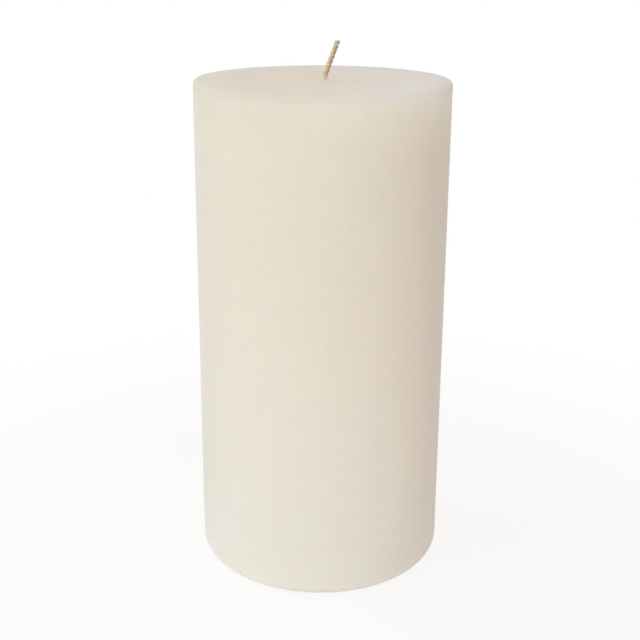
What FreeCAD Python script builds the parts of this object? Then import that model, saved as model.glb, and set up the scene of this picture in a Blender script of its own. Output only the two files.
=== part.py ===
"""Pillar candle: a cast wax pillar, its cotton wick and the stamped tab that anchors the wick.

Millimetres. The origin is the centre of the base, on the surface that the candle stands on. +Z is up, and
the wick's free end leans towards +X.
"""
import FreeCAD, Part
import math
import os

# Wax pillar
BODY_DIAMETER = 100.0
BODY_HEIGHT = 198.0
TOP_EDGE_RADIUS = 2.0
BASE_EDGE_RADIUS = 6.0

# Shallow sink that the wax draws in the middle of the top as it sets
SINK_DIAMETER = 44.0
SINK_DEPTH = 0.8

# Wick: its thickness, where it stands, and how its free end bends over and leans
WICK_DIAMETER = 2.0
WICK_X = 1.1
WICK_Y = -1.0
WICK_UPRIGHT_ABOVE_WAX = 0.5
WICK_BEND_RADIUS = 12.0
WICK_LEAN_DEG = 18.0
WICK_STRAIGHT_END = 12.0

# Stamped tab that grips the foot of the wick, set a little way up in the base
TAB_DIAMETER = 15.0
TAB_SHEET = 0.3
TAB_NECK_HEIGHT = 6.0
TAB_CONE_WIDTH = 1.5
TAB_CONE_RISE = 1.0
TAB_RECESS = 0.5
TAB_RIM_CLEARANCE = 0.3

# What follows from them
WICK_RADIUS = WICK_DIAMETER / 2
NECK_RADIUS = WICK_RADIUS + TAB_SHEET
DISC_TOP = TAB_RECESS + TAB_SHEET
NECK_TOP = DISC_TOP + TAB_NECK_HEIGHT
SEAT_RADIUS = TAB_DIAMETER / 2 + TAB_RIM_CLEARANCE

UP = FreeCAD.Vector(0, 0, 1)


def point(radius, height):
    """A point of a turned profile, in the half plane to the right of the axis of turning."""
    return FreeCAD.Vector(radius, 0, height)


def on_circle(centre, radius, angle_deg):
    """The point of a circle in the profile's plane, at an angle above the outward direction."""
    angle = math.radians(angle_deg)
    return centre + point(math.cos(angle), math.sin(angle)) * radius


def line(start, end):
    """One straight edge."""
    return Part.LineSegment(start, end).toShape()


def arc(centre, radius, start_deg, end_deg):
    """One circular edge between two angles above the outward direction."""
    middle_deg = (start_deg + end_deg) / 2
    points = [on_circle(centre, radius, angle) for angle in (start_deg, middle_deg, end_deg)]
    return Part.Arc(*points).toShape()


def outline(corners):
    """The straight edges from each corner to the next, and from the last back to the first."""
    return [line(start, end) for start, end in zip(corners, corners[1:] + corners[:1])]


def turned(edges):
    """The solid that a closed profile sweeps in one turn about the Z axis."""
    face = Part.Face(Part.Wire(edges))
    return face.revolve(point(0, 0), UP, 360)


def sink_edges(rim, floor):
    """The section of the sink from its rim down to its floor: two equal arcs, level at both ends."""
    run = rim.x - floor.x
    drop = rim.z - floor.z
    radius = (run ** 2 + drop ** 2) / (4 * drop)
    turn = math.degrees(math.asin(run / (2 * radius)))
    return [
        arc(rim - UP * radius, radius, 90, 90 + turn),
        arc(floor + UP * radius, radius, turn - 90, -90),
    ]


def pillar():
    """The whole pillar, with its broken top edge, its rounder base edge and the sink in its top."""
    base_centre = point(BODY_DIAMETER / 2 - BASE_EDGE_RADIUS, BASE_EDGE_RADIUS)
    top_centre = point(BODY_DIAMETER / 2 - TOP_EDGE_RADIUS, BODY_HEIGHT - TOP_EDGE_RADIUS)
    base_middle = point(0, 0)
    base_rim = on_circle(base_centre, BASE_EDGE_RADIUS, -90)
    wall_foot = on_circle(base_centre, BASE_EDGE_RADIUS, 0)
    wall_head = on_circle(top_centre, TOP_EDGE_RADIUS, 0)
    top_rim = on_circle(top_centre, TOP_EDGE_RADIUS, 90)
    sink_rim = point(SINK_DIAMETER / 2, BODY_HEIGHT)
    sink_floor = point(0, BODY_HEIGHT - SINK_DEPTH)
    return turned([
        line(base_middle, base_rim),
        arc(base_centre, BASE_EDGE_RADIUS, -90, 0),
        line(wall_foot, wall_head),
        arc(top_centre, TOP_EDGE_RADIUS, 0, 90),
        line(top_rim, sink_rim),
        *sink_edges(sink_rim, sink_floor),
        line(sink_floor, base_middle),
    ])


def at_wick(shape):
    """A shape that was made about the Z axis, moved to where the wick stands."""
    return shape.translated(FreeCAD.Vector(WICK_X, WICK_Y, 0))


def wick():
    """The whole cord: upright through the wax, one tangent bend above it, then straight to the cut tip."""
    foot = point(0, TAB_RECESS)
    bend_start = point(0, BODY_HEIGHT - SINK_DEPTH + WICK_UPRIGHT_ABOVE_WAX)
    bend_centre = bend_start + point(WICK_BEND_RADIUS, 0)
    bend_end = on_circle(bend_centre, WICK_BEND_RADIUS, 180 - WICK_LEAN_DEG)
    tip = on_circle(bend_end, WICK_STRAIGHT_END, 90 - WICK_LEAN_DEG)
    route = Part.Wire([
        line(foot, bend_start),
        arc(bend_centre, WICK_BEND_RADIUS, 180, 180 - WICK_LEAN_DEG),
        line(bend_end, tip),
    ])
    section = Part.Wire(Part.makeCircle(WICK_RADIUS, foot, UP))
    cord = route.makePipeShell([section], True, False)
    print("wick volume over section times length:", cord.Volume / (math.pi * WICK_RADIUS ** 2 * route.Length))
    return at_wick(cord)


def hat(disc_radius, disc_top, neck_radius):
    """All that lies between the base and a disc whose middle rises in a low cone to a neck."""
    corners = [
        point(0, 0),
        point(disc_radius, 0),
        point(disc_radius, disc_top),
        point(neck_radius + TAB_CONE_WIDTH, disc_top),
        point(neck_radius, disc_top + TAB_CONE_RISE),
        point(neck_radius, NECK_TOP),
        point(0, NECK_TOP),
    ]
    return at_wick(turned(outline(corners)))


def wick_sustainer():
    """The tab: a sheet disc whose middle is drawn up into a cone and a neck that grips the wick all round."""
    outside = hat(TAB_DIAMETER / 2, DISC_TOP, NECK_RADIUS)
    inside = hat(SEAT_RADIUS, TAB_RECESS, WICK_RADIUS)
    return outside.cut(inside)


def wax_body(cord):
    """The pillar with the bore that the cord fills and the seat that the tab was pressed into."""
    seat = hat(SEAT_RADIUS, DISC_TOP, NECK_RADIUS)
    return pillar().cut([seat, cord])


def write(name, shape):
    """Write a piece, which is one solid, to its own file."""
    (solid,) = shape.Solids
    solid.exportStep(f"parts/{name}.step")


os.makedirs("parts", exist_ok=True)
cord = wick()
write("wick", cord)
write("wick_sustainer", wick_sustainer())
write("wax_body", wax_body(cord))
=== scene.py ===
"""The looks of the pillar candle: ivory wax, a braided cotton wick and its tinned tab.

Metres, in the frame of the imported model: the origin is the centre of the base and +Z is up.
"""

import bpy
import numpy as np
from mathutils import Matrix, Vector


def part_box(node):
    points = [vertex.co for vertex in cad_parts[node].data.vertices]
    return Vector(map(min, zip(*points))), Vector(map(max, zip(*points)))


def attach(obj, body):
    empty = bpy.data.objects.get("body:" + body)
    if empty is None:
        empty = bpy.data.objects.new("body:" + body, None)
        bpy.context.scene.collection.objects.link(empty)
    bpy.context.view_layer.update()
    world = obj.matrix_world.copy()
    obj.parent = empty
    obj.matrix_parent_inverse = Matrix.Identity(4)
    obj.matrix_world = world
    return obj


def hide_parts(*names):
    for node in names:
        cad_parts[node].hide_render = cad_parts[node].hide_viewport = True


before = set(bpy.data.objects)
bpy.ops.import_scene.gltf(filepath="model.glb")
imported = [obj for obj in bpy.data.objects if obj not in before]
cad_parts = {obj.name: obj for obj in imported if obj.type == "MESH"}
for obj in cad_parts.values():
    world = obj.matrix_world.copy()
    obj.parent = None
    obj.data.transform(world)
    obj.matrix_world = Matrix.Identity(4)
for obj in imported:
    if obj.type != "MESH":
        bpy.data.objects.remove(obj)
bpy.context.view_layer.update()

MM = 0.001

# Sizes read from the frame
_, WAX_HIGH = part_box("wax_body")
WICK_LOW, WICK_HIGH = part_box("wick")
TAB_LOW, TAB_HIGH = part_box("wick_sustainer")
BODY_RADIUS = WAX_HIGH.y
BODY_HEIGHT = WAX_HIGH.z
WICK_RADIUS = (WICK_HIGH.y - WICK_LOW.y) / 2
WICK_XY = np.array([WICK_LOW.x + WICK_RADIUS, WICK_LOW.y + WICK_RADIUS])
TAB_RADIUS = (TAB_HIGH.x - TAB_LOW.x) / 2

# Forms of the wax
TOP_EDGE_RADIUS = 2.0 * MM
BASE_EDGE_RADIUS = 6.0 * MM
SINK_RADIUS = 22.0 * MM
SINK_DEPTH = 0.8 * MM
TAB_SHEET = 0.3 * MM
TAB_RIM_CLEARANCE = 0.3 * MM
SEAT_RADIUS = TAB_RADIUS + TAB_RIM_CLEARANCE
SEAT_DEPTH = TAB_LOW.z + TAB_SHEET
CORE_RADIUS = 0.2 * WICK_RADIUS
COLLAR_HEIGHT = 0.7 * MM
COLLAR_RADIUS = 0.8 * WICK_RADIUS
COLLAR_WIDTH = 0.8 * MM

# The unevenness of the wax, and the waves that it is made of
WALL_UNEVENNESS = 0.12 * MM
TOP_UNEVENNESS = 0.15 * MM
HEIGHT_PARTS = 10
WAVES = 9
WAVE_MOST_TURNS = 5
WAVE_MOST_RUN = 14
TOP_WAVE_STRETCH = 6
WALL_WAVE_SEED = 3
TOP_WAVE_SEED = 8

# Control points of the wick's centre line, in millimetres
WICK_ROUTE = [
    (1.1, -1.0, 0.5),
    (1.1, -1.0, 90.0),
    (1.1, -1.0, 175.0),
    (0.4, -1.0, 198.0),
    (1.8, -1.0, 202.0),
    (5.65, -1.0, 212.3),
]

# The braid of the wick
STRANDS = 3
BRAID_START = 0.5 * MM
BRAID_PITCH = 5.8 * MM
BRAID_HALF_WIDTH = 0.44 * WICK_RADIUS
BRAID_HALF_DEPTH = 0.30 * WICK_RADIUS
STRAND_RADIUS = 0.62 * WICK_RADIUS
YARNS_IN_STRAND = 4
YARN_RELIEF = 0.10
YARN_PITCH = 2.6 * MM

# The stray hairs that stand off the braid
FUZZ_FIBRES = 110
FUZZ_START = 0.5 * MM
FUZZ_ROOT_RADIUS = 0.7 * WICK_RADIUS
FUZZ_REACH_ROOTS = (0.35, 1.0)
FUZZ_SLANT = (-0.4, 1.2)
FUZZ_SAG = 0.15
FUZZ_THICKNESS = 0.035 * MM
FUZZ_SEED = 21

# The short fibres at the cut end of each strand
TUFT_FIBRES = 60
TUFT_LENGTH = 0.6 * MM
TUFT_OVERLAP = 0.3 * MM
TUFT_ROOT_RADIUS = 0.85 * STRAND_RADIUS
TUFT_RAGGED_MM = 0.25
TUFT_SPREAD = 0.08
TUFT_SAG = 0.05
TUFT_THICKNESS = 0.18 * MM
TUFT_SEED = 5
FIBRE_THINNING = 0.85
ACROSS_ANY_FIBRE = (0.3, 1, 0.2)

# How fine the meshes are
WAX_SIDES = 256
SEAT_POINTS = 8
SEAT_WALL_POINTS = 4
BASE_POINTS = 16
BASE_EDGE_POINTS = 20
WALL_POINTS = 90
TOP_EDGE_POINTS = 14
TOP_POINTS = 44
TOP_MIDDLE_POINTS = 20
TOP_MIDDLE_RADIUS = 3 * WICK_RADIUS
ROUTE_ORDER = 3
ROUTE_POINTS_TO_A_SPAN = 40
ROUTE_DIRECTION_REACH = 0.2 * MM
STRAND_SIDES = 20
STRAND_HIDDEN_STEP = 0.6 * MM
STRAND_SHOWN_STEP = 0.1 * MM
STRAND_SHOWN_DEPTH = 4 * MM
FIBRE_RINGS = 5
FIBRE_SIDES = 4
FLOOR_SIDES = 96
SHARP_EDGE_DEG = 50

# Colours
WHITE = (1.0, 1.0, 1.0, 1.0)
WAX_DEEP = (0.84, 0.80, 0.70, 1.0)
WAX_PALE = (0.91, 0.88, 0.78, 1.0)
# Painted light: paler and warmer towards the foot, for the floor's bounce
WAX_PAINTED_BOUNCE_LIGHT = (0.99, 0.90, 0.825, 1.0)
WAX_HEART = (0.98, 0.87, 0.72, 1.0)
# Painted shade on the top edge, most at the left
WAX_RIM_PAINTED_SHADE = (0.71, 0.645, 0.545, 1.0)
# Painted shade on the wall's +X side, away from the left lamp: deeper and pinker
PAINTED_SHADE_WALL_RIGHT = (0.98, 0.95, 0.935, 1.0)
# Painted shade at the crown's left, and painted light at its right
PAINTED_SHADE_CROWN_LEFT = (0.94, 0.94, 0.94, 1.0)
PAINTED_LIGHT_CROWN_RIGHT = (1.05, 1.04, 1.085, 1.0)
COTTON_SHADE = (0.60, 0.43, 0.22, 1.0)
COTTON_LIGHT = (0.97, 0.89, 0.66, 1.0)
# Painted shade on the wick's +X side, away from the left lamp
COTTON_PAINTED_SHADE = (0.36, 0.23, 0.12, 1.0)
COTTON_GOLD = (0.72, 0.50, 0.18, 1.0)
COTTON_CUT = (0.66, 0.60, 0.56, 1.0)
COTTON_WAXED = (0.95, 0.83, 0.62, 1.0)
TIN_DULL = (0.58, 0.58, 0.57, 1.0)
TIN_BRIGHT = (0.80, 0.80, 0.79, 1.0)
FLOOR_COLOUR = (0.96, 0.93, 0.88, 1.0)

# How far light travels in the wax, by colour
WAX_SCATTER = (1.0, 0.8, 0.5)
WAX_SCATTER_SCALE = 28.0 * MM
WAX_FOOT_SCATTER_SCALE = 5.0 * MM
WAX_FOOT_HEIGHT = 70.0 * MM

# Where the tone of the wax changes, and where light and shade are painted on it
WAX_CROWN_HEIGHT = 25.0 * MM
WAX_EDGE_WIDTH = 7.0 * MM
WAX_HEART_RADIUS = 0.9 * BODY_RADIUS
# Where the painted shade on the wall's +X side starts
WAX_PAINTED_SHADE_START = 0.3 * BODY_RADIUS
# Where the painted bounce light near the foot fades out, and how far the clouds shift it
WAX_PAINTED_BOUNCE_HEIGHT = 10.0 * MM
WAX_PAINTED_BOUNCE_DRIFT = 20.0 * MM

# The skin of the wax. The rest of its tone is mottle, and the rest of its relief is grain.
WAX_CLOUDS_PER_M = 22
WAX_MOTTLE_PER_M = 120
WAX_GRAIN_PER_M = 1100
WAX_CLOUDS_IN_TONE = 0.6
WAX_MOTTLE_IN_RELIEF = 0.75
WAX_RELIEF = 0.15 * MM
WAX_RELIEF_STRENGTH = 0.3
WAX_ROUGHNESS = 0.5
WAX_ROUGHNESS_OF_CLOUDS = 0.14
WAX_ROUGHNESS_OF_MOTTLE = 0.08
WAX_ROUGHNESS_OF_RIM = 0.3
WAX_IOR = 1.44
WAX_GLOSS = 0.4
WAX_GLOSS_ROUGHNESS = 0.3

# The skin of the cotton, where its tone changes, and where shade is painted on it
COTTON_STREAKS = (26.0, 1.2, 1.0)
COTTON_STREAK_BAND = (0.3, 0.7)
COTTON_PATCHES_PER_M = 700
COTTON_PATCH_BAND = (0.5, 0.72)
COTTON_GOLD_SHARE = 0.7
# How much painted shade the wick's +X side gets
COTTON_PAINTED_SHADE_SHARE = 0.75
COTTON_CUT_SHARE = 0.75
COTTON_WAXED_SHARE = 0.75
COTTON_ROUGHNESS = 0.8
COTTON_WAXED_SMOOTHING = 0.35
COTTON_SHEEN = 0.25
COTTON_RELIEF = 0.06 * MM
COTTON_RELIEF_STRENGTH = 0.5
COTTON_SCATTER_SHARE = 0.3
COTTON_SCATTER = (1.0, 0.8, 0.5)
COTTON_SCATTER_SCALE = 0.4 * MM
COTTON_SOAKED_HEIGHT = 2.2 * MM
COTTON_CUT_START = WICK_HIGH.z - 4.0 * MM
COTTON_CUT_FULL = WICK_HIGH.z - 0.8 * MM
# Where the painted shade on the wick's +X side starts and where it is full
COTTON_PAINTED_SHADE_START = -0.5 * MM
COTTON_PAINTED_SHADE_FULL = 0.7 * MM

# The skin of the tin
TIN_ROLLING = (150.0, 4000.0, 150.0)
TIN_SPOTS_PER_M = 500
TIN_RELIEF = 0.02 * MM
TIN_RELIEF_STRENGTH = 0.15
TIN_ROUGHNESS = 0.22
TIN_ROUGHNESS_OF_SPOTS = 0.2
TIN_ROUGHNESS_OF_ROLLING = 0.08

# Light
AMBIENT = 0.465
AMBIENT_COLOUR = (1.0, 0.88, 0.81, 1.0)
LAMP_AIM = (0.0, 0.0, 0.1)
# Each lamp's name, place, width, power and colour
LAMPS = [
    ("front", (0.0, -1.565, 0.433), 0.8, 6.3, (0.93, 1.0, 1.05)),
    ("left", (-1.556, 0.0, 1.19), 2.2, 14.5, (0.88, 1.0, 1.05)),
    ("top", (0.0, 0.0, 2.0), 2.2, 3.4, (0.88, 1.0, 1.1)),
]

# Floor
FLOOR_PLAIN_SHARE = 0.87
FLOOR_RADIUS = 14.0
FLOOR_HOLE_RADIUS = BODY_RADIUS - BASE_EDGE_RADIUS - 1.0 * MM
FLOOR_GAP = 0.02 * MM
SHADOW_REACH = 0.3
SHADOW_FADE_START = SHADOW_REACH / 3

# Camera
PICTURE_WIDTH = 640
FOCAL_PIXELS = 1100.34
CAMERA_SHIFT_PIXELS = -30
CAMERA_PLACE = (0.0, -0.42935, 0.24635)
CAMERA_PITCH_DEG = 17.329
CAMERA_PAN_DEG = 0.070
CAMERA_ROLL_DEG = 0.380
SENSOR_WIDTH = 36.0


def smooth_step(share):
    """0 below 0, 1 above 1, and 3x^2 - 2x^3 between them."""
    x = np.clip(share, 0, 1)
    return x * x * (3 - 2 * x)


def unit(vectors):
    """Each vector at length one."""
    return vectors / np.linalg.norm(vectors, axis=-1, keepdims=True)


# Meshes

def grid_corners(rings, points):
    """The ring number and the point number of each quad's corners.

    The points are counted on past the last one, and not back to 0.
    """
    first = np.stack(np.meshgrid(np.arange(rings - 1), np.arange(points), indexing="ij"), -1)
    return first.reshape(-1, 1, 2) + np.array([[0, 0], [0, 1], [1, 1], [1, 0]])


def new_piece(name, vertices, faces, material, uv=None):
    """A smooth-shaded mesh that rides on the candle's one body."""
    mesh = bpy.data.meshes.new(name)
    mesh.from_pydata(vertices.tolist(), [], [face.tolist() for face in faces])
    mesh.shade_smooth()
    mesh.set_sharp_from_angle(angle=np.radians(SHARP_EDGE_DEG))
    if uv is not None:
        mesh.uv_layers.new(name="along").data.foreach_set("uv", uv.astype(np.float32).ravel())
    mesh.materials.append(material)
    piece = bpy.data.objects.new(name, mesh)
    bpy.context.scene.collection.objects.link(piece)
    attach(piece, "root")
    return piece


def tube_faces(rings, points, first_vertex=0):
    """Quads between a tube's rings, whose last point joins the first, and a face over each end."""
    corners = grid_corners(rings, points)
    sides = corners[..., 0] * points + corners[..., 1] % points + first_vertex
    start = np.arange(points)[::-1] + first_vertex
    end = np.arange(points) + (rings - 1) * points + first_vertex
    return [*sides, start, end]


# Wax

def straight(start, end, count):
    """Evenly spaced points (radius, height) from start up to, but not including, end."""
    share = np.linspace(0, 1, count, endpoint=False)[:, None]
    return np.array(start) * (1 - share) + np.array(end) * share


def bend(centre, radius, start_deg, end_deg, count):
    """Evenly spaced points (radius, height) of an arc, up to, but not including, its end."""
    angle = np.radians(np.linspace(start_deg, end_deg, count, endpoint=False))
    return np.array(centre) + radius * np.stack([np.cos(angle), np.sin(angle)], -1)


def top_profile():
    """The top from its rim inwards: level, less a cosine bell for the sink, plus a collar.

    The collar is level inside the wick and fades outwards from it.
    """
    rim = BODY_RADIUS - TOP_EDGE_RADIUS
    outer = np.linspace(rim, TOP_MIDDLE_RADIUS, TOP_POINTS, endpoint=False)
    inner = np.linspace(TOP_MIDDLE_RADIUS, CORE_RADIUS, TOP_MIDDLE_POINTS)
    radius = np.concatenate([outer, inner])
    bell = (1 + np.cos(np.pi * np.clip(radius / SINK_RADIUS, 0, 1))) / 2
    collar = np.exp(-np.clip(radius - COLLAR_RADIUS, 0, None) / COLLAR_WIDTH)
    return np.stack([radius, BODY_HEIGHT - SINK_DEPTH * bell + COLLAR_HEIGHT * collar], -1)


def wax_profile():
    """The section of the wax: seat from its middle, base, base edge, wall, top edge and top."""
    base_turn = (BODY_RADIUS - BASE_EDGE_RADIUS, BASE_EDGE_RADIUS)
    top_turn = (BODY_RADIUS - TOP_EDGE_RADIUS, BODY_HEIGHT - TOP_EDGE_RADIUS)
    return np.concatenate([
        straight((CORE_RADIUS, SEAT_DEPTH), (SEAT_RADIUS, SEAT_DEPTH), SEAT_POINTS),
        straight((SEAT_RADIUS, SEAT_DEPTH), (SEAT_RADIUS, 0), SEAT_WALL_POINTS),
        straight((SEAT_RADIUS, 0), (base_turn[0], 0), BASE_POINTS),
        bend(base_turn, BASE_EDGE_RADIUS, -90, 0, BASE_EDGE_POINTS),
        straight((BODY_RADIUS, base_turn[1]), (BODY_RADIUS, top_turn[1]), WALL_POINTS),
        bend(top_turn, TOP_EDGE_RADIUS, 0, 90, TOP_EDGE_POINTS),
        top_profile(),
    ])


def gentle_waves(angle, level, seed):
    """A slow uneven field from 0 to 1: the mean of some sine waves.

    Each wave goes round in a few whole turns, and runs up or down by its own number of radians.
    """
    draw = np.random.default_rng(seed)
    turns = draw.integers(1, WAVE_MOST_TURNS + 1, WAVES)
    runs = draw.uniform(-WAVE_MOST_RUN, WAVE_MOST_RUN, WAVES)
    steps = draw.uniform(0, 2 * np.pi, WAVES)
    drawn = zip(turns, runs, steps)
    waves = [np.sin(turn * angle + run * level + step) for turn, run, step in drawn]
    return 0.5 + 0.5 * np.mean(waves, axis=0)


def wax_pillar(line, material):
    """The wax: its section carried round in circles, and drawn in a little where it is uneven.

    The circles are centred on the wick near it, and on the pillar's axis from the rim of the sink
    outwards. What belongs to the top sets in softly over the last of the height's equal parts.
    """
    exit_shift = line.place(line.wax_top)[:2] - WICK_XY
    profile = wax_profile()
    radius = profile[:, :1]
    height = profile[:, 1:]
    angle = np.linspace(0, 2 * np.pi, WAX_SIDES, endpoint=False)[None, :]
    off_axis = 1 - smooth_step((radius - SEAT_RADIUS) / (SINK_RADIUS - SEAT_RADIUS))
    wall_share = smooth_step(radius / BODY_RADIUS)
    top_share = smooth_step(HEIGHT_PARTS * height / BODY_HEIGHT - (HEIGHT_PARTS - 1))
    wall_waves = gentle_waves(angle, height / BODY_HEIGHT, WALL_WAVE_SEED)
    top_waves = gentle_waves(angle, radius / BODY_RADIUS / TOP_WAVE_STRETCH, TOP_WAVE_SEED)
    reach = radius - WALL_UNEVENNESS * wall_share * wall_waves
    drop = TOP_UNEVENNESS * top_share * top_waves
    x = reach * np.cos(angle) + off_axis * (WICK_XY[0] + top_share * exit_shift[0])
    y = reach * np.sin(angle) + off_axis * (WICK_XY[1] + top_share * exit_shift[1])
    vertices = np.stack([x, y, height - drop], -1).reshape(-1, 3)
    faces = tube_faces(len(profile), WAX_SIDES)
    piece = new_piece("wax_pillar", vertices, faces, material)
    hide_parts("wax_body")


# Wick

def route_points():
    """Closely spaced points of the smooth curve that the route's control points shape."""
    curve = bpy.data.curves.new("wick_route", "CURVE")
    curve.dimensions = "3D"
    spline = curve.splines.new("NURBS")
    spline.points.add(len(WICK_ROUTE) - 1)
    for place, control in zip(WICK_ROUTE, spline.points):
        control.co = (*(MM * np.array(place)), 1)
    spline.order_u = ROUTE_ORDER
    spline.use_endpoint_u = True
    spline.resolution_u = ROUTE_POINTS_TO_A_SPAN
    holder = bpy.data.objects.new("wick_route", curve)
    mesh = bpy.data.meshes.new_from_object(holder)
    points = np.zeros(len(mesh.vertices) * 3)
    mesh.vertices.foreach_get("co", points)
    bpy.data.meshes.remove(mesh)
    bpy.data.objects.remove(holder)
    bpy.data.curves.remove(curve)
    return points.reshape(-1, 3)


class WickLine:
    """The wick's centre line by the distance along it from its foot."""

    def __init__(self):
        self.points = route_points()
        steps = np.linalg.norm(np.diff(self.points, axis=0), axis=1)
        self.travelled = np.concatenate([[0], np.cumsum(steps)])
        self.length = self.travelled[-1]
        self.wax_top = np.interp(BODY_HEIGHT - SINK_DEPTH, self.points[:, 2], self.travelled)

    def place(self, distance):
        """The point of the line at each distance."""
        return np.stack([np.interp(distance, self.travelled, row) for row in self.points.T], -1)

    def directions(self, distance):
        """Unit vectors at each distance: along the line, across it in its lean, and over it."""
        ahead = self.place(distance + ROUTE_DIRECTION_REACH)
        along = unit(ahead - self.place(distance - ROUTE_DIRECTION_REACH))
        across = unit(np.cross([0, 1, 0], along))
        return along, across, np.cross(along, across)


def strand_middle(line, distance, phase):
    """A strand's middle: about the line it swings across once a pitch, and over and under twice."""
    _, across, over = line.directions(distance)
    turn = (2 * np.pi * distance / BRAID_PITCH + phase)[:, None]
    swing = BRAID_HALF_WIDTH * np.sin(turn) * across
    return line.place(distance) + swing + BRAID_HALF_DEPTH * np.sin(2 * turn) * over


def strand_rings(line, distance, phase):
    """Rings round a strand's middle, with a lobe for every yarn.

    The yarns wind once round the strand in a yarn pitch.
    """
    _, across, over = line.directions(distance)
    angle = np.linspace(0, 2 * np.pi, STRAND_SIDES, endpoint=False)[None, :]
    winding = 2 * np.pi * distance[:, None] / YARN_PITCH
    groove = 1 - np.abs(np.cos(YARNS_IN_STRAND / 2 * (angle - winding)))
    radius = (STRAND_RADIUS * (1 - YARN_RELIEF * groove))[..., None]
    outward = np.cos(angle)[..., None] * across[:, None] + np.sin(angle)[..., None] * over[:, None]
    return strand_middle(line, distance, phase)[:, None] + radius * outward


def wick_braid(line, material):
    """The braid: three alike strands a third of a pitch apart, coarser where the wax hides them."""
    shown_start = line.wax_top - STRAND_SHOWN_DEPTH
    hidden = np.arange(BRAID_START, shown_start, STRAND_HIDDEN_STEP)
    shown = np.arange(shown_start, line.length - TUFT_LENGTH, STRAND_SHOWN_STEP)
    distance = np.concatenate([hidden, shown])
    corners = grid_corners(len(distance), STRAND_SIDES)
    share_round = corners[..., 1] / STRAND_SIDES
    millimetres_along = distance[corners[..., 0]] / MM
    strand_uv = np.stack([share_round, millimetres_along], -1).reshape(-1, 2)
    end_uv = np.zeros((2 * STRAND_SIDES, 2))
    vertices, faces, uv = [], [], []
    for strand in range(STRANDS):
        rings = strand_rings(line, distance, 2 * np.pi * strand / STRANDS)
        first_vertex = strand * len(distance) * STRAND_SIDES
        faces += tube_faces(len(distance), STRAND_SIDES, first_vertex)
        vertices.append(rings.reshape(-1, 3))
        uv += [strand_uv, end_uv]
    vertices, uv = np.concatenate(vertices), np.concatenate(uv)
    piece = new_piece("wick_braid", vertices, faces, material, uv)
    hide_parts("wick")


def fibres(name, roots, tips, sag, thickness, material):
    """Fine hairs: each runs from its root to its tip, bows aside by its sag and thins out."""
    share = np.linspace(0, 1, FIBRE_RINGS)[None, :, None]
    unbowed = roots[:, None] * (1 - share) + tips[:, None] * share
    middle = unbowed + 4 * share * (1 - share) * sag[:, None]
    along = unit(tips - roots)
    aside = unit(np.cross(along, ACROSS_ANY_FIBRE))
    third = np.cross(along, aside)
    angle = np.linspace(0, 2 * np.pi, FIBRE_SIDES, endpoint=False)
    outward = np.cos(angle)[:, None] * aside[:, None] + np.sin(angle)[:, None] * third[:, None]
    radius = thickness / 2 * (1 - FIBRE_THINNING * share[..., None])
    rings = middle[:, :, None] + radius * outward[:, None]
    faces = []
    for fibre in range(len(roots)):
        faces += tube_faces(FIBRE_RINGS, FIBRE_SIDES, fibre * FIBRE_RINGS * FIBRE_SIDES)
    new_piece(name, rings.reshape(-1, 3), faces, material)


def wick_fuzz(line, material):
    """Stray hairs that stand off the braid at a slant, most of them short.

    How far each reaches, in millimetres, is the square of what is drawn for it.
    """
    draw = np.random.default_rng(FUZZ_SEED)
    distance = draw.uniform(line.wax_top + FUZZ_START, line.length - TUFT_LENGTH, FUZZ_FIBRES)
    along, across, over = line.directions(distance)
    angle = draw.uniform(0, 2 * np.pi, (FUZZ_FIBRES, 1))
    outward = np.cos(angle) * across + np.sin(angle) * over
    roots = line.place(distance) + FUZZ_ROOT_RADIUS * outward
    reach = MM * draw.uniform(*FUZZ_REACH_ROOTS, (FUZZ_FIBRES, 1)) ** 2
    slant = draw.uniform(*FUZZ_SLANT, (FUZZ_FIBRES, 1))
    tips = roots + reach * unit(outward + slant * along)
    sag = FUZZ_SAG * reach * draw.normal(size=(FUZZ_FIBRES, 3))
    fibres("wick_fuzz", roots, tips, sag, FUZZ_THICKNESS, material)


def wick_tuft(line, material):
    """The cut end: each strand ends in short fibres, which spread a little up to a level cut."""
    draw = np.random.default_rng(TUFT_SEED)
    count = STRANDS * TUFT_FIBRES
    start = np.full(count, line.length - TUFT_LENGTH - TUFT_OVERLAP)
    phase = np.repeat(np.arange(STRANDS), TUFT_FIBRES) * 2 * np.pi / STRANDS
    middle = strand_middle(line, start, phase)
    along, across, over = line.directions(start)
    angle = draw.uniform(0, 2 * np.pi, (count, 1))
    spread = np.sqrt(draw.uniform(0, 1, (count, 1)))
    outward = np.cos(angle) * across + np.sin(angle) * over
    roots = middle + TUFT_ROOT_RADIUS * spread * outward
    cut = line.place(line.length)[2] - draw.uniform(0, TUFT_RAGGED_MM, (count, 1)) * MM
    length = (cut - roots[:, 2:]) / along[:, 2:]
    tips = roots + length * along + TUFT_SPREAD * length * spread * outward
    sag = TUFT_SAG * length * draw.normal(size=(count, 3))
    fibres("wick_tuft", roots, tips, sag, TUFT_THICKNESS, material)


# Shaders

class Wire:
    """A number that flows between shader nodes; arithmetic on it adds Math nodes."""

    def __init__(self, graph, socket):
        self.graph = graph
        self.socket = socket

    def __add__(self, other):
        return self.graph.math("ADD", self, other)

    def __sub__(self, other):
        return self.graph.math("SUBTRACT", self, other)

    def __rsub__(self, other):
        return self.graph.math("SUBTRACT", other, self)

    def __mul__(self, other):
        return self.graph.math("MULTIPLY", self, other)

    __radd__ = __add__
    __rmul__ = __mul__


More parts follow.
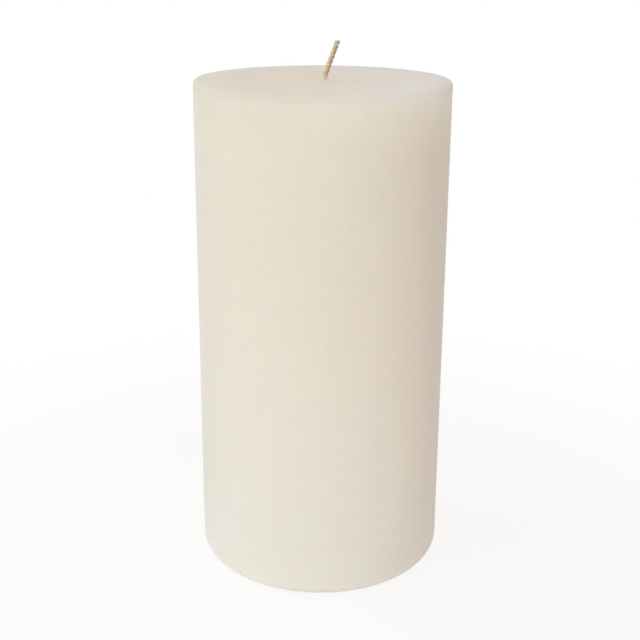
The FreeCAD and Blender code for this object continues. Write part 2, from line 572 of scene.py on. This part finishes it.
class Graph:
    """The shader nodes of one material or of the world."""

    def __init__(self, owner):
        owner.use_nodes = True
        self.tree = owner.node_tree
        self.tree.nodes.clear()

    def add(self, kind, output, settings=None, inputs=None):
        """One output of a new node, whose settings come first and then its inputs."""
        node = self.tree.nodes.new(kind)
        for name, value in (settings or {}).items():
            setattr(node, name, value)
        for name, value in (inputs or {}).items():
            if isinstance(value, Wire):
                self.tree.links.new(value.socket, node.inputs[name])
            else:
                node.inputs[name].default_value = value
        return Wire(self, node.outputs[output])

    def math(self, operation, first, second):
        """A Math node on two numbers."""
        return self.add("ShaderNodeMath", 0, {"operation": operation}, {0: first, 1: second})

    def between(self, share, low, high):
        """How far a number has come from low to high, held between 0 and 1, with soft ends."""
        inputs = {"Value": share, "From Min": low, "From Max": high}
        return self.add("ShaderNodeMapRange", 0, {"interpolation_type": "SMOOTHSTEP"}, inputs)

    def noise(self, where, scale, detail):
        """Soft noise between 0 and 1 with about this many patches to the unit of length."""
        inputs = {"Vector": where, "Scale": scale, "Detail": detail}
        return self.add("ShaderNodeTexNoise", 0, None, inputs)

    def blend(self, share, low, high):
        """A colour between two colours."""
        return self.add("ShaderNodeMix", 2, {"data_type": "RGBA"}, {0: share, 6: low, 7: high})

    def tinted(self, share, colour, tint):
        """A colour, and by its share the same colour multiplied by a tint."""
        settings = {"data_type": "RGBA", "blend_type": "MULTIPLY"}
        return self.add("ShaderNodeMix", 2, settings, {0: share, 6: colour, 7: tint})

    def coordinates(self, where, *axes):
        """Single coordinates of a place."""
        return [self.add("ShaderNodeSeparateXYZ", axis, None, {0: where}) for axis in axes]

    def stretched(self, where, scale):
        """Coordinates multiplied along each axis."""
        inputs = {0: where, 1: scale}
        return self.add("ShaderNodeVectorMath", 0, {"operation": "MULTIPLY"}, inputs)

    def length(self, vector):
        """How long a vector is."""
        return self.add("ShaderNodeVectorMath", "Value", {"operation": "LENGTH"}, {0: vector})

    def bump(self, height, strength, distance):
        """A normal tilted by a height."""
        inputs = {"Height": height, "Strength": strength, "Distance": distance}
        return self.add("ShaderNodeBump", 0, None, inputs)

    def seen_ray(self):
        """1 for what is seen, also in a reflection or through glass, and 0 for what lights."""
        kinds = ("Is Camera Ray", "Is Glossy Ray", "Is Transmission Ray")
        direct, mirrored, through = [self.add("ShaderNodeLightPath", kind) for kind in kinds]
        return self.math("MAXIMUM", self.math("MAXIMUM", direct, mirrored), through)

    def surface(self, shader, kind="ShaderNodeOutputMaterial"):
        """Sends a shader to the output."""
        output = self.tree.nodes.new(kind)
        self.tree.links.new(shader.socket, output.inputs["Surface"])


def ivory_wax():
    """Poured wax: light sinks deep into it, and its tone varies in soft clouds.

    It is warmer round the wick. It grows paler downwards, which is painted light that stands in
    for the floor's bounce. Its top edge is rougher all round, and darker with painted shade, most
    at the left and none at the right. The wall has painted shade at the right, deeper and pinker,
    and the crown, which is the top and what lies close under it, has painted shade at the left and
    painted light at the right. The wax is denser at the foot, where light sinks in less far. The
    wall, which took its skin from the mould, has a faint gloss that the poured top lacks.
    """
    material = bpy.data.materials.new("ivory_wax")
    g = Graph(material)
    where = g.add("ShaderNodeTexCoord", "Object")
    cloud = g.noise(where, WAX_CLOUDS_PER_M, detail=3)
    mottle = g.noise(where, WAX_MOTTLE_PER_M, detail=3)
    grain = g.noise(where, WAX_GRAIN_PER_M, detail=2)
    x, height = g.coordinates(where, "X", "Z")
    # Painted light: paler and warmer towards the foot, for the floor's bounce
    low = 1 - g.between(height + WAX_PAINTED_BOUNCE_DRIFT * cloud, WAX_PAINTED_BOUNCE_HEIGHT, BODY_HEIGHT)
    foot = 1 - g.between(height, 0.0, WAX_FOOT_HEIGHT)
    radius = g.length(g.stretched(where, (1.0, 1.0, 0.0)))
    heart = 1 - g.between(radius, 0.0, WAX_HEART_RADIUS)
    # Painted shade on the wall's +X side, away from the left lamp
    right = g.between(x, WAX_PAINTED_SHADE_START, BODY_RADIUS)
    side = g.between(x, -BODY_RADIUS, BODY_RADIUS)
    crown = g.between(height, BODY_HEIGHT - WAX_CROWN_HEIGHT, BODY_HEIGHT)
    edge = g.between(height, BODY_HEIGHT - WAX_EDGE_WIDTH, BODY_HEIGHT)
    rim = edge * g.between(radius, BODY_RADIUS - WAX_EDGE_WIDTH, BODY_RADIUS)
    varied = WAX_CLOUDS_IN_TONE * cloud + (1 - WAX_CLOUDS_IN_TONE) * mottle
    skin = g.blend(low, g.blend(varied, WAX_DEEP, WAX_PALE), WAX_PAINTED_BOUNCE_LIGHT)
    wall = g.tinted((1 - crown) * right, skin, PAINTED_SHADE_WALL_RIGHT)
    # Painted shade at the crown's left, and painted light at its right
    crowned = g.tinted(crown, wall, g.blend(side, PAINTED_SHADE_CROWN_LEFT, PAINTED_LIGHT_CROWN_RIGHT))
    warmed = g.blend(heart, crowned, WAX_HEART)
    # Painted shade on the top edge, most at the left and none at the right
    colour = g.blend(rim * rim * (1 - side), warmed, WAX_RIM_PAINTED_SHADE)
    uneven = WAX_ROUGHNESS + WAX_ROUGHNESS_OF_CLOUDS * cloud + WAX_ROUGHNESS_OF_MOTTLE * mottle
    roughness = uneven + WAX_ROUGHNESS_OF_RIM * rim
    bumps = WAX_MOTTLE_IN_RELIEF * mottle + (1 - WAX_MOTTLE_IN_RELIEF) * grain
    relief = g.bump(bumps, WAX_RELIEF_STRENGTH, WAX_RELIEF)
    upper, lower = [g.add("ShaderNodeBsdfPrincipled", 0, None, {
        "Base Color": colour,
        "Roughness": roughness,
        "IOR": WAX_IOR,
        "Coat Weight": WAX_GLOSS * (1 - edge),
        "Coat Roughness": WAX_GLOSS_ROUGHNESS,
        "Coat IOR": WAX_IOR,
        "Subsurface Weight": 1.0,
        "Subsurface Radius": WAX_SCATTER,
        "Subsurface Scale": scale,
        "Normal": relief,
    }) for scale in (WAX_SCATTER_SCALE, WAX_FOOT_SCATTER_SCALE)]
    g.surface(g.add("ShaderNodeMixShader", 0, None, {0: foot, 1: upper, 2: lower}))
    return material


def waxed_cotton():
    """Cotton cord of streaky yarns, shade painted on one side, grey at the cut, waxy at the foot.

    The painted shade is on the +X side, away from the left lamp. The side is the distance in X
    from the straight line between the third last and the last of the route's points.
    """
    material = bpy.data.materials.new("waxed_cotton")
    g = Graph(material)
    where = g.add("ShaderNodeTexCoord", "Object")
    along = g.add("ShaderNodeTexCoord", "UV")
    streak = g.noise(g.stretched(along, COTTON_STREAKS), 1.0, detail=3)
    patch = g.noise(where, COTTON_PATCHES_PER_M, detail=2)
    x, height = g.coordinates(where, "X", "Z")
    low, high = MM * np.array(WICK_ROUTE[-3]), MM * np.array(WICK_ROUTE[-1])
    lean = float((high[0] - low[0]) / (high[2] - low[2]))
    side = x - lean * height - float(low[0] - lean * low[2])
    # Painted shade on the wick's +X side, away from the left lamp
    shaded_side = g.between(side, COTTON_PAINTED_SHADE_START, COTTON_PAINTED_SHADE_FULL)
    soaked = 1 - g.between(height, BODY_HEIGHT, BODY_HEIGHT + COTTON_SOAKED_HEIGHT)
    cut = g.between(height, COTTON_CUT_START, COTTON_CUT_FULL)
    yarn = g.blend(g.between(streak, *COTTON_STREAK_BAND), COTTON_SHADE, COTTON_LIGHT)
    gold = g.blend(COTTON_GOLD_SHARE * g.between(patch, *COTTON_PATCH_BAND), yarn, COTTON_GOLD)
    # The painted shade laid over the +X side
    shaded = g.blend(COTTON_PAINTED_SHADE_SHARE * shaded_side, gold, COTTON_PAINTED_SHADE)
    grey = g.blend(COTTON_CUT_SHARE * cut, shaded, COTTON_CUT)
    g.surface(g.add("ShaderNodeBsdfPrincipled", 0, None, {
        "Base Color": g.blend(COTTON_WAXED_SHARE * soaked, grey, COTTON_WAXED),
        "Roughness": COTTON_ROUGHNESS - COTTON_WAXED_SMOOTHING * soaked,
        "Sheen Weight": COTTON_SHEEN,
        "Subsurface Weight": COTTON_SCATTER_SHARE,
        "Subsurface Radius": COTTON_SCATTER,
        "Subsurface Scale": COTTON_SCATTER_SCALE,
        "Normal": g.bump(streak, COTTON_RELIEF_STRENGTH, COTTON_RELIEF),
    }))
    return material


def tinned_sheet():
    """Bright tinplate with faint rolling lines and duller spots."""
    material = bpy.data.materials.new("tinned_sheet")
    g = Graph(material)
    where = g.add("ShaderNodeTexCoord", "Object")
    rolled = g.noise(g.stretched(where, TIN_ROLLING), 1.0, detail=2)
    dull = g.noise(where, TIN_SPOTS_PER_M, detail=2)
    uneven = TIN_ROUGHNESS + TIN_ROUGHNESS_OF_SPOTS * dull + TIN_ROUGHNESS_OF_ROLLING * rolled
    g.surface(g.add("ShaderNodeBsdfPrincipled", 0, None, {
        "Base Color": g.blend(dull, TIN_DULL, TIN_BRIGHT),
        "Metallic": 1.0,
        "Roughness": uneven,
        "Normal": g.bump(rolled, TIN_RELIEF_STRENGTH, TIN_RELIEF),
    }))
    return material


def white_floor():
    """Matt white ground: partly lit near the candle, to keep its shadow, and plain further off."""
    material = bpy.data.materials.new("white_floor")
    g = Graph(material)
    distance = g.length(g.add("ShaderNodeTexCoord", "Object"))
    far = g.between(distance, SHADOW_FADE_START, SHADOW_REACH)
    lit = g.add("ShaderNodeBsdfDiffuse", 0, None, {"Color": FLOOR_COLOUR})
    plain = g.add("ShaderNodeEmission", 0, None, {"Color": WHITE, "Strength": 1.0})
    share = (FLOOR_PLAIN_SHARE + (1 - FLOOR_PLAIN_SHARE) * far) * g.seen_ray()
    g.surface(g.add("ShaderNodeMixShader", 0, None, {0: share, 1: lit, 2: plain}))
    return material


# Studio

def studio_world():
    """Soft light from all round, with plain white wherever the surroundings are seen."""
    world = bpy.data.worlds.new("studio")
    bpy.context.scene.world = world
    g = Graph(world)
    inputs = {"Color": AMBIENT_COLOUR, "Strength": AMBIENT}
    light = g.add("ShaderNodeBackground", 0, None, inputs)
    white = g.add("ShaderNodeBackground", 0, None, {"Color": WHITE, "Strength": 1.0})
    both = g.add("ShaderNodeMixShader", 0, None, {0: g.seen_ray(), 1: light, 2: white})
    g.surface(both, "ShaderNodeOutputWorld")


def floor():
    """A wide flat ring: a round floor that is open under the candle's base."""
    angle = np.linspace(0, 2 * np.pi, FLOOR_SIDES, endpoint=False)
    rim = np.stack([np.cos(angle), np.sin(angle), 0 * angle], -1)
    rings = np.array([FLOOR_RADIUS, FLOOR_HOLE_RADIUS])[:, None, None] * rim - [0, 0, FLOOR_GAP]
    sides = tube_faces(2, FLOOR_SIDES)[:FLOOR_SIDES]
    mesh = bpy.data.meshes.new("floor")
    mesh.from_pydata(rings.reshape(-1, 3).tolist(), [], sides)
    mesh.materials.append(white_floor())
    ground = bpy.data.objects.new("floor", mesh)
    bpy.context.scene.collection.objects.link(ground)


def softbox(name, place, width, power, colour):
    """A large square lamp that faces the candle's middle."""
    lamp = bpy.data.lights.new(name, "AREA")
    lamp.size = width
    lamp.energy = power
    lamp.color = colour
    holder = bpy.data.objects.new(name, lamp)
    away = np.array(place) - np.array(LAMP_AIM)
    bearing = np.arctan2(away[0], -away[1])
    tilt = np.arctan2(np.hypot(away[0], away[1]), away[2])
    holder.location = place
    holder.rotation_euler = (tilt, 0, bearing)
    bpy.context.scene.collection.objects.link(holder)


def camera():
    """The photograph's camera: in front, above the top, tipped down and rolled a little."""
    lens = bpy.data.cameras.new("camera")
    lens.sensor_width = SENSOR_WIDTH
    lens.lens = FOCAL_PIXELS / PICTURE_WIDTH * SENSOR_WIDTH
    lens.shift_y = CAMERA_SHIFT_PIXELS / PICTURE_WIDTH
    holder = bpy.data.objects.new("camera", lens)
    holder.location = CAMERA_PLACE
    turn = Matrix.Rotation(np.radians(CAMERA_PAN_DEG), 3, "Z")
    tilt = Matrix.Rotation(np.radians(90 - CAMERA_PITCH_DEG), 3, "X")
    roll = Matrix.Rotation(np.radians(CAMERA_ROLL_DEG), 3, "Z")
    holder.rotation_euler = (turn @ tilt @ roll).to_euler()
    bpy.context.scene.collection.objects.link(holder)
    bpy.context.scene.camera = holder


def main():
    """Dresses the frame and sets up the studio."""
    cotton = waxed_cotton()
    line = WickLine()
    wax_pillar(line, ivory_wax())
    wick_braid(line, cotton)
    wick_fuzz(line, cotton)
    wick_tuft(line, cotton)
    tab_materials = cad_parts["wick_sustainer"].data.materials
    tab_materials.clear()
    tab_materials.append(tinned_sheet())
    studio_world()
    floor()
    for lamp in LAMPS:
        softbox(*lamp)
    camera()
    bpy.context.scene.view_settings.view_transform = "Standard"


main()
